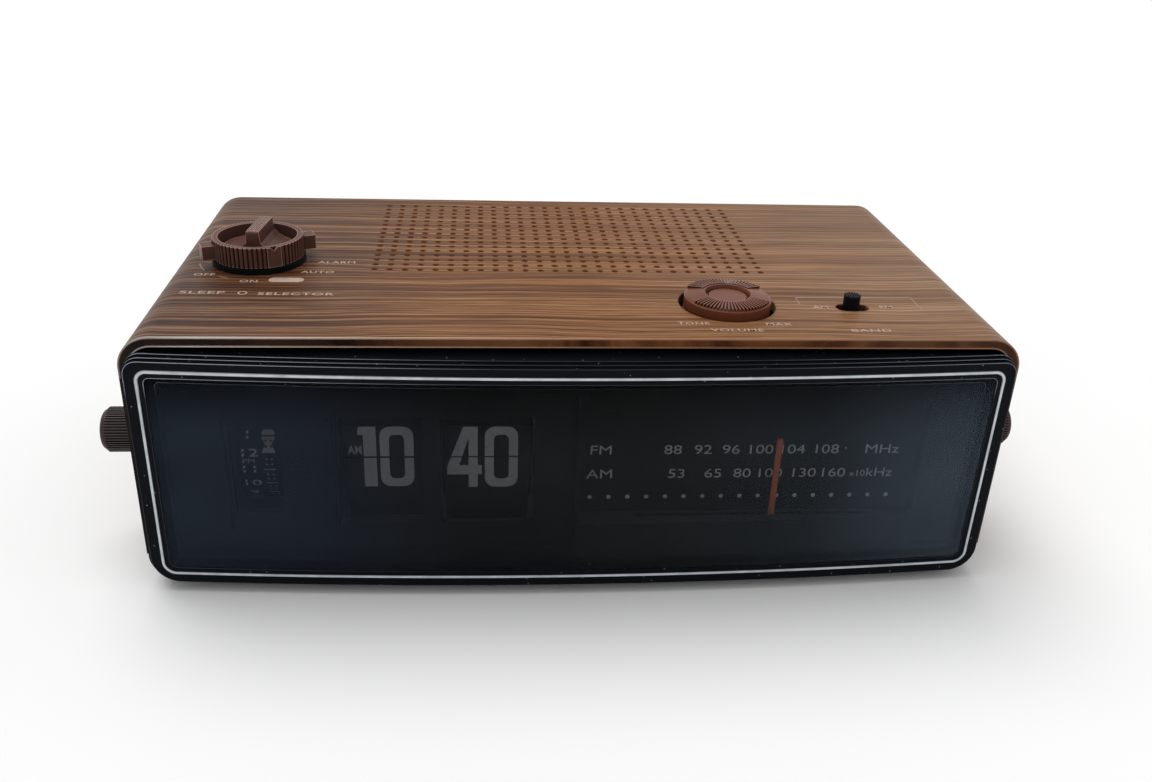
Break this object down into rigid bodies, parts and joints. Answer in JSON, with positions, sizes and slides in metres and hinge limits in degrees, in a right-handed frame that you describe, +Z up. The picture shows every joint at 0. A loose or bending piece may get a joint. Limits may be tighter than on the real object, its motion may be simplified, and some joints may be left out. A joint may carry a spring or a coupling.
{
  "type": "flip clock radio",
  "caption": "Mains flip clock radio: wood-grain sleeve with a punched top grille, bowed smoked front with leaf clock, alarm drum and tuning dial, and knobs on top and ends.",
  "frame": {"origin": "centre of the bounding box on the surface the rubber feet stand on", "axes": "+X to the right as seen from the front, +Y to the back, +Z up"},
  "size_m": [0.328, 0.1596, 0.1046],
  "materials": {
    "wood_grain": "satin wood-grain print over moulded board",
    "black_case": "fine satin black moulding",
    "black_front": "black moulding, half gloss",
    "trim_silver": "bright foil line",
    "smoked_lens": "smoked clear plastic, polished",
    "panel_black": "flat black dial panel with pale print",
    "rubber": "black rubber",
    "screw_steel": "zinc-plated steel",
    "plate_steel": "plated sheet steel",
    "shaft_steel": "bright drawn steel",
    "leaf_black": "black printed leaf",
    "drum_black": "dark grey moulding",
    "gear_nylon": "natural nylon",
    "brass": "turned brass",
    "knob_brown": "dark brown moulding, half gloss",
    "pointer_red": "orange-red moulding",
    "cord_linen": "waxed linen dial cord",
    "button_black": "black moulding",
    "part_grey": "grey moulded component",
    "cone_paper": "pressed paper cone",
    "magnet": "sintered magnet and pole plates",
    "board_brown": "bonded-paper circuit board",
    "can_tin": "tinned screening can",
    "capacitor_blue": "sleeved capacitor",
    "core_iron": "varnished laminations",
    "coil_copper": "taped copper winding",
    "ferrite": "ferrite rod",
    "lamp_glass": "small lamp with its holder"
  },
  "bodies": {
    "housing": {"cabinet": "wood_grain", "base_tray": "black_case", "rear_cover": "black_case", "front_bezel": "black_front", "trim_line": "trim_silver", "front_lens": "smoked_lens", "dial_panel": "panel_black", "rubber_feet": "rubber", "base_screws": "screw_steel", "rear_screws": "screw_steel", "clock_frame": "plate_steel", "drum_axle": "shaft_steel", "clock_motor": "plate_steel", "dial_chassis": "plate_steel", "tuning_capacitor": "part_grey", "pointer_rail": "shaft_steel", "dial_cord": "cord_linen", "volume_pot": "part_grey", "band_switch": "part_grey", "selector_base": "black_case", "selector_switch": "part_grey", "speaker_basket": "plate_steel", "speaker_magnet": "magnet", "speaker_screws": "screw_steel", "circuit_board": "board_brown", "coil_cans": "can_tin", "capacitors": "capacitor_blue", "transformer": "core_iron", "transformer_coil": "coil_copper", "ferrite_rod": "ferrite", "rod_holders": "gear_nylon", "aerial_coil": "coil_copper", "dial_lamp": "lamp_glass"},
    "alarm_setting": {"alarm_knob": "knob_brown", "alarm_shaft": "shaft_steel", "alarm_drum": "drum_black"},
    "minute_wheel": {"minute_drum": "drum_black", "minute_gear": "gear_nylon", "minute_leaves": "leaf_black"},
    "hour_wheel": {"hour_drum": "drum_black", "hour_leaves": "leaf_black"},
    "carry_wheel": {"carry_gear": "gear_nylon"},
    "time_setting": {"time_knob": "knob_brown", "time_shaft": "shaft_steel"},
    "pinion": {"motor_pinion": "brass"},
    "falling_minute": {"minute_flap": "leaf_black"},
    "falling_hour": {"hour_flap": "leaf_black"},
    "tuning": {"tuning_knob": "knob_brown", "tuning_shaft": "shaft_steel"},
    "pointer": {"dial_pointer": "pointer_red"},
    "capacitor_wheel": {"capacitor_gear": "gear_nylon"},
    "pulley_left": {"cord_pulley_left": "gear_nylon"},
    "pulley_lower": {"cord_pulley_lower": "gear_nylon"},
    "pulley_upper": {"cord_pulley_upper": "gear_nylon"},
    "volume": {"volume_knob": "knob_brown"},
    "selector": {"selector_ring": "knob_brown", "selector_hub": "knob_brown"},
    "sleep": {"sleep_knob": "knob_brown"},
    "band": {"band_slider": "button_black"},
    "cone": {"speaker_cone": "cone_paper"}
  },
  "joints": [
    {"name": "alarm_turn", "type": "hinge", "parent": "housing", "child": "alarm_setting", "pos_m": [-0.145, -0.03725, 0.0425], "axis": [1, 0, 0], "continuous": true},
    {"name": "minute_turn", "type": "hinge", "parent": "housing", "child": "minute_wheel", "pos_m": [-0.03075, -0.03725, 0.0425], "axis": [1, 0, 0], "continuous": true},
    {"name": "hour_turn", "type": "hinge", "parent": "housing", "child": "hour_wheel", "pos_m": [-0.06625, -0.03725, 0.0425], "axis": [1, 0, 0], "continuous": true},
    {"name": "carry_turn", "type": "hinge", "parent": "housing", "child": "carry_wheel", "pos_m": [-0.05, -0.01625, 0.0425], "axis": [1, 0, 0], "continuous": true},
    {"name": "time_turn", "type": "hinge", "parent": "housing", "child": "time_setting", "pos_m": [-0.145, 0.00415, 0.0425], "axis": [1, 0, 0], "continuous": true},
    {"name": "motor_turn", "type": "hinge", "parent": "housing", "child": "pinion", "pos_m": [-0.015, -0.01205, 0.0425], "axis": [1, 0, 0], "continuous": true},
    {"name": "minute_fall", "type": "hinge", "parent": "minute_wheel", "child": "falling_minute", "pos_m": [-0.03075, -0.06013, 0.0448], "axis": [1, 0, 0], "range_deg": [0, 165]},
    {"name": "hour_fall", "type": "hinge", "parent": "hour_wheel", "child": "falling_hour", "pos_m": [-0.06625, -0.05988, 0.0466], "axis": [1, 0, 0], "range_deg": [0, 165]},
    {"name": "tuning_turn", "type": "hinge", "parent": "housing", "child": "tuning", "pos_m": [0.145, -0.03475, 0.0425], "axis": [1, 0, 0], "range_deg": [-262, 148]},
    {"name": "pointer_slide", "type": "slide", "parent": "housing", "child": "pointer", "axis": [1, 0, 0], "range_m": [-0.039, 0.022]},
    {"name": "capacitor_turn", "type": "hinge", "parent": "housing", "child": "capacitor_wheel", "pos_m": [0.115, -0.01075, 0.0425], "axis": [1, 0, 0], "range_deg": [-64, 113]},
    {"name": "left_pulley_turn", "type": "hinge", "parent": "housing", "child": "pulley_left", "pos_m": [0.006, -0.05825, 0.0425], "axis": [0, 1, 0], "range_deg": [-149, 263]},
    {"name": "lower_pulley_turn", "type": "hinge", "parent": "housing", "child": "pulley_lower", "pos_m": [0.121, -0.05425, 0.034], "axis": [0, 0, 1], "range_deg": [-557, 315]},
    {"name": "upper_pulley_turn", "type": "hinge", "parent": "housing", "child": "pulley_upper", "pos_m": [0.121, -0.05425, 0.051], "axis": [0, 0, 1], "range_deg": [-315, 557]},
    {"name": "volume_turn", "type": "hinge", "parent": "housing", "child": "volume", "pos_m": [0.0517, -0.03975, 0.0825], "axis": [0, 0, 1], "range_deg": [-150, 150]},
    {"name": "selector_turn", "type": "hinge", "parent": "housing", "child": "selector", "pos_m": [-0.1132, 0.00075, 0.0925], "axis": [0, 0, 1], "range_deg": [-80, 48]},
    {"name": "sleep_turn", "type": "hinge", "parent": "housing", "child": "sleep", "pos_m": [-0.1132, 0.00075, 0.0975], "axis": [0, 0, 1], "range_deg": [-270, 0]},
    {"name": "band_slide", "type": "slide", "parent": "housing", "child": "band", "axis": [1, 0, 0], "range_m": [-0.0015, 0.0027]},
    {"name": "cone_move", "type": "slide", "parent": "housing", "child": "cone", "axis": [0, 0, 1], "range_m": [-0.0005, 0.0005], "stiffness_N_per_m": 900}
  ],
  "couplings": [
    {"joint": "hour_turn", "follows": "minute_turn", "ratio": 0.041667},
    {"joint": "carry_turn", "follows": "minute_turn", "ratio": -0.25},
    {"joint": "time_turn", "follows": "minute_turn", "ratio": 1.1667},
    {"joint": "motor_turn", "follows": "minute_turn", "ratio": -6},
    {"joint": "pointer_slide", "follows": "tuning_turn", "m_per_rad": 0.0085},
    {"joint": "capacitor_turn", "follows": "tuning_turn", "ratio": -0.42857},
    {"joint": "left_pulley_turn", "follows": "tuning_turn", "ratio": -1},
    {"joint": "lower_pulley_turn", "follows": "tuning_turn", "ratio": 2.125},
    {"joint": "upper_pulley_turn", "follows": "tuning_turn", "ratio": -2.125}
  ]
}
